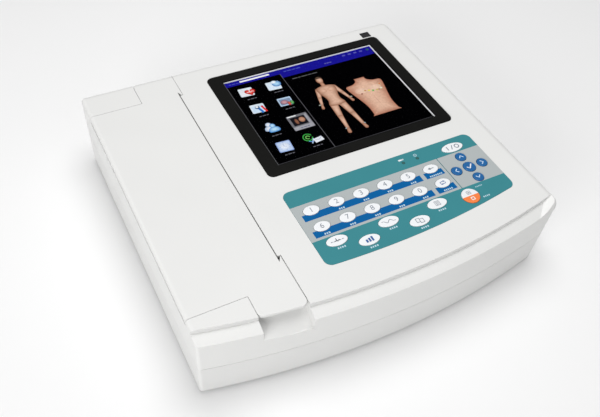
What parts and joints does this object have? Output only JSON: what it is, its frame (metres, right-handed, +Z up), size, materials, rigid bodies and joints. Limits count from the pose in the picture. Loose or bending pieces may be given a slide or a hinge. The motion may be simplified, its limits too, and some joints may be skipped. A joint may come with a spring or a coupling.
{
  "type": "ecg machine",
  "caption": "Flat desktop ECG recorder: bowed white case, framed colour screen, film keypad with sprung keys, and a hinged lid over a wide thermal paper recorder.",
  "frame": {"origin": "on the table, under the middle of the case", "axes": "+X to the user's right along the case's long side, +Y away from the user, +Z up"},
  "size_m": [0.3524, 0.3218, 0.086],
  "materials": {
    "case": "satin moulded white ABS with a fine texture",
    "case_lower": "satin moulded white ABS, a shade greyer",
    "rubber": "black moulded rubber",
    "steel": "bright turned steel",
    "sheet_steel": "zinc plated sheet",
    "brass_contact": "nickelled brass",
    "black_plastic": "black polycarbonate",
    "bezel": "charcoal frame with a low sheen",
    "gasket": "pale grey foam",
    "glass": "clear touch panel",
    "lcd": "lit colour screen",
    "dark_window": "smoked window",
    "keypad_film": "printed film, teal with a grey band",
    "board": "green solder mask",
    "lamp": "tinted lamp",
    "battery": "blue shrink sleeve",
    "paper": "thermal paper",
    "spindle": "grey nylon",
    "tray": "grey ABS",
    "heat_sink": "extruded aluminium with a ceramic strip",
    "motor": "black lacquered can",
    "gear_plastic": "natural acetal",
    "key_white": "white silicone key",
    "key_blue": "blue silicone key",
    "key_start": "white and orange silicone key"
  },
  "bodies": {
    "case": {"battery_cover": "case_lower", "battery_pack": "battery", "bottom_case": "case_lower", "case_screws": "steel", "earth_socket": "brass_contact", "head_springs": "steel", "hinge_pins": "steel", "indicator_leds": "lamp", "keypad_board": "board", "keypad_film": "keypad_film", "lcd_module": "lcd", "lead_board": "board", "main_board": "board", "mains_inlet": "black_plastic", "paper_motor": "motor", "paper_tray": "tray", "power_board": "board", "print_frame": "sheet_steel", "print_head": "heat_sink", "rubber_feet": "rubber", "screen_bezel": "bezel", "screen_gasket": "gasket", "sensor_window": "dark_window", "speaker": "black_plastic", "tear_bar": "case", "top_cover": "case", "touch_panel": "glass"},
    "lid": {"paper_lid": "case"},
    "platen": {"platen_shaft": "steel", "platen_rubber": "rubber", "platen_gear": "gear_plastic"},
    "idler": {"idler_gear": "gear_plastic"},
    "pinion": {"motor_pinion": "gear_plastic"},
    "paper": {"paper_roll": "paper", "roll_spindle": "spindle"},
    "mains_switch": {"switch_rocker": "black_plastic"},
    "press_0": {"key_0": "key_white"},
    "press_1": {"key_1": "key_white"},
    "press_2": {"key_2": "key_white"},
    "press_3": {"key_3": "key_white"},
    "press_4": {"key_4": "key_white"},
    "press_5": {"key_5": "key_white"},
    "press_6": {"key_6": "key_white"},
    "press_7": {"key_7": "key_white"},
    "press_8": {"key_8": "key_white"},
    "press_9": {"key_9": "key_white"},
    "press_back": {"key_back": "key_white"},
    "press_down": {"key_down": "key_blue"},
    "press_enter": {"key_enter": "key_blue"},
    "press_filter": {"key_filter": "key_white"},
    "press_function": {"key_function": "key_white"},
    "press_left": {"key_left": "key_blue"},
    "press_mode": {"key_mode": "key_white"},
    "press_power": {"key_power": "key_white"},
    "press_print": {"key_print": "key_white"},
    "press_right": {"key_right": "key_blue"},
    "press_sensitivity": {"key_sensitivity": "key_white"},
    "press_speed": {"key_speed": "key_white"},
    "press_start": {"key_start": "key_start"},
    "press_up": {"key_up": "key_blue"}
  },
  "joints": [
    {"name": "lid_hinge", "type": "hinge", "parent": "case", "child": "lid", "pos_m": [-0.17275, 0, 0.0815], "axis": [0, -1, 0], "range_deg": [0, 100]},
    {"name": "platen_spin", "type": "hinge", "parent": "lid", "child": "platen", "pos_m": [-0.0986, 0, 0.0716], "axis": [0, 1, 0], "continuous": true},
    {"name": "idler_spin", "type": "hinge", "parent": "case", "child": "idler", "pos_m": [-0.10126, 0, 0.05168], "axis": [0, 1, 0], "continuous": true},
    {"name": "pinion_spin", "type": "hinge", "parent": "case", "child": "pinion", "pos_m": [-0.08776, 0, 0.04151], "axis": [0, 1, 0], "continuous": true},
    {"name": "roll_spin", "type": "hinge", "parent": "case", "child": "paper", "pos_m": [-0.141, 0, 0.037], "axis": [0, 1, 0], "continuous": true},
    {"name": "mains_rocker", "type": "hinge", "parent": "case", "child": "mains_switch", "pos_m": [0.085, 0.1554, 0.022], "axis": [1, 0, 0], "range_deg": [0, 14]},
    {"name": "key_0_travel", "type": "slide", "parent": "case", "child": "press_0", "axis": [0, 0, -1], "range_m": [0, 0.0005], "stiffness_N_per_m": 900},
    {"name": "key_1_travel", "type": "slide", "parent": "case", "child": "press_1", "axis": [0, 0, -1], "range_m": [0, 0.0005], "stiffness_N_per_m": 900},
    {"name": "key_2_travel", "type": "slide", "parent": "case", "child": "press_2", "axis": [0, 0, -1], "range_m": [0, 0.0005], "stiffness_N_per_m": 900},
    {"name": "key_3_travel", "type": "slide", "parent": "case", "child": "press_3", "axis": [0, 0, -1], "range_m": [0, 0.0005], "stiffness_N_per_m": 900},
    {"name": "key_4_travel", "type": "slide", "parent": "case", "child": "press_4", "axis": [0, 0, -1], "range_m": [0, 0.0005], "stiffness_N_per_m": 900},
    {"name": "key_5_travel", "type": "slide", "parent": "case", "child": "press_5", "axis": [0, 0, -1], "range_m": [0, 0.0005], "stiffness_N_per_m": 900},
    {"name": "key_6_travel", "type": "slide", "parent": "case", "child": "press_6", "axis": [0, 0, -1], "range_m": [0, 0.0005], "stiffness_N_per_m": 900},
    {"name": "key_7_travel", "type": "slide", "parent": "case", "child": "press_7", "axis": [0, 0, -1], "range_m": [0, 0.0005], "stiffness_N_per_m": 900},
    {"name": "key_8_travel", "type": "slide", "parent": "case", "child": "press_8", "axis": [0, 0, -1], "range_m": [0, 0.0005], "stiffness_N_per_m": 900},
    {"name": "key_9_travel", "type": "slide", "parent": "case", "child": "press_9", "axis": [0, 0, -1], "range_m": [0, 0.0005], "stiffness_N_per_m": 900},
    {"name": "key_back_travel", "type": "slide", "parent": "case", "child": "press_back", "axis": [0, 0, -1], "range_m": [0, 0.0005], "stiffness_N_per_m": 900},
    {"name": "key_down_travel", "type": "slide", "parent": "case", "child": "press_down", "axis": [0, 0, -1], "range_m": [0, 0.0005], "stiffness_N_per_m": 900},
    {"name": "key_enter_travel", "type": "slide", "parent": "case", "child": "press_enter", "axis": [0, 0, -1], "range_m": [0, 0.0005], "stiffness_N_per_m": 900},
    {"name": "key_filter_travel", "type": "slide", "parent": "case", "child": "press_filter", "axis": [0, 0, -1], "range_m": [0, 0.0005], "stiffness_N_per_m": 900},
    {"name": "key_function_travel", "type": "slide", "parent": "case", "child": "press_function", "axis": [0, 0, -1], "range_m": [0, 0.0005], "stiffness_N_per_m": 900},
    {"name": "key_left_travel", "type": "slide", "parent": "case", "child": "press_left", "axis": [0, 0, -1], "range_m": [0, 0.0005], "stiffness_N_per_m": 900},
    {"name": "key_mode_travel", "type": "slide", "parent": "case", "child": "press_mode", "axis": [0, 0, -1], "range_m": [0, 0.0005], "stiffness_N_per_m": 900},
    {"name": "key_power_travel", "type": "slide", "parent": "case", "child": "press_power", "axis": [0, 0, -1], "range_m": [0, 0.0005], "stiffness_N_per_m": 900},
    {"name": "key_print_travel", "type": "slide", "parent": "case", "child": "press_print", "axis": [0, 0, -1], "range_m": [0, 0.0005], "stiffness_N_per_m": 900},
    {"name": "key_right_travel", "type": "slide", "parent": "case", "child": "press_right", "axis": [0, 0, -1], "range_m": [0, 0.0005], "stiffness_N_per_m": 900},
    {"name": "key_sensitivity_travel", "type": "slide", "parent": "case", "child": "press_sensitivity", "axis": [0, 0, -1], "range_m": [0, 0.0005], "stiffness_N_per_m": 900},
    {"name": "key_speed_travel", "type": "slide", "parent": "case", "child": "press_speed", "axis": [0, 0, -1], "range_m": [0, 0.0005], "stiffness_N_per_m": 900},
    {"name": "key_start_travel", "type": "slide", "parent": "case", "child": "press_start", "axis": [0, 0, -1], "range_m": [0, 0.0005], "stiffness_N_per_m": 900},
    {"name": "key_up_travel", "type": "slide", "parent": "case", "child": "press_up", "axis": [0, 0, -1], "range_m": [0, 0.0005], "stiffness_N_per_m": 900}
  ],
  "couplings": [
    {"joint": "idler_spin", "follows": "platen_spin", "ratio": -0.66667},
    {"joint": "pinion_spin", "follows": "platen_spin", "ratio": 1.6667}
  ]
}
